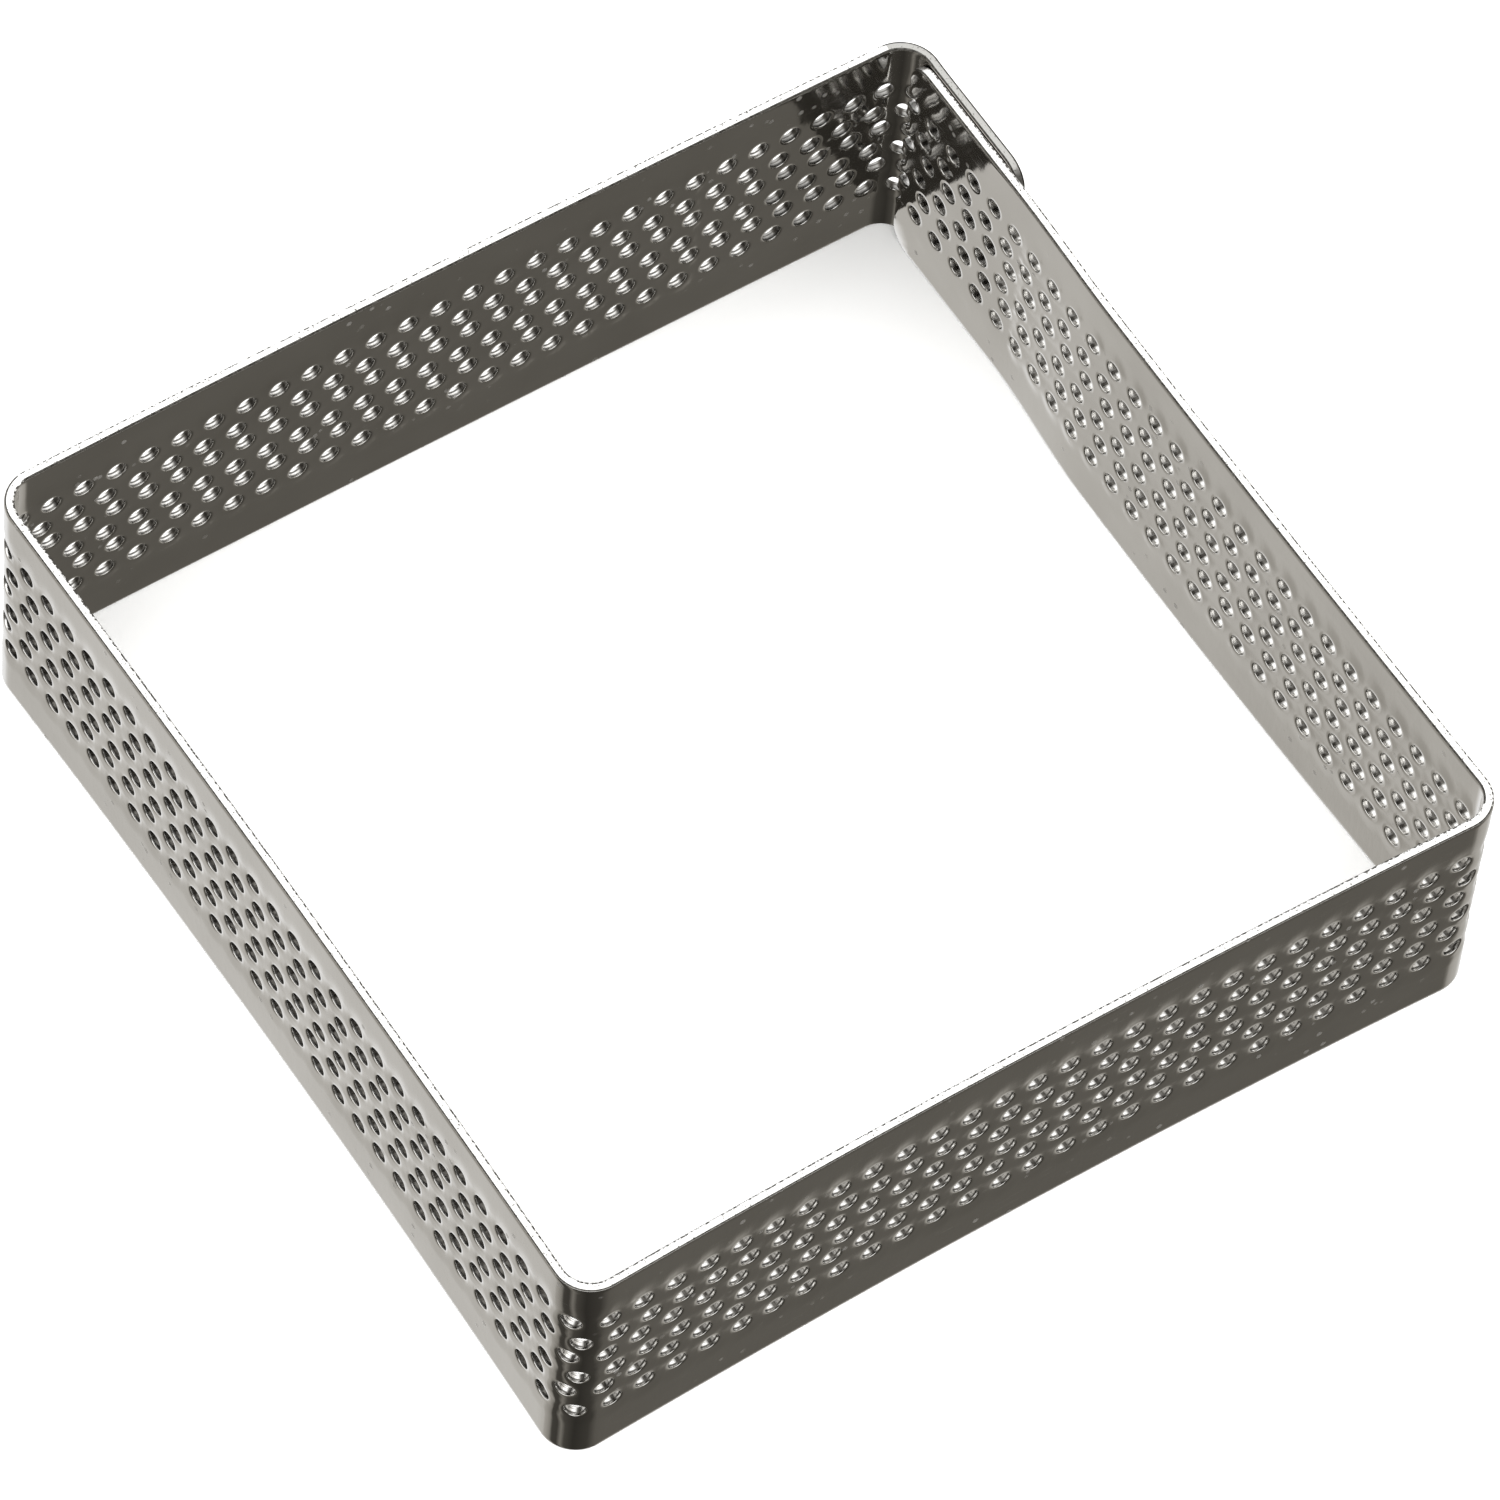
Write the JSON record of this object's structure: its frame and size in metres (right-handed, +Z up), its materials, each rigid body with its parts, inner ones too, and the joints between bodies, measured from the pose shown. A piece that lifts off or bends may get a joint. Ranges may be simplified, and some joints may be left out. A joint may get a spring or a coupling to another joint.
{
  "type": "cheese mold",
  "caption": "Square bottomless cheese mold ring bent from perforated stainless sheet, with a lapped, spot-welded corner seam.",
  "frame": {"origin": "middle of the footprint, lap leaf included, on the plane the lower rim rests on", "axes": "+Z up through the open ring; +X towards the wall that carries the lap seam; the seam wraps the corner between +X and +Y; -Y is the front wall"},
  "size_m": [0.071, 0.07, 0.02],
  "materials": {
    "polished_stainless": "mirror polished sheet",
    "weld_metal": "dull, as welded"
  },
  "bodies": {
    "root": {"perforated_band": "polished_stainless", "spot_weld_upper_front": "weld_metal", "spot_weld_upper_rear": "weld_metal", "spot_weld_lower_front": "weld_metal", "spot_weld_lower_rear": "weld_metal"}
  },
  "joints": []
}
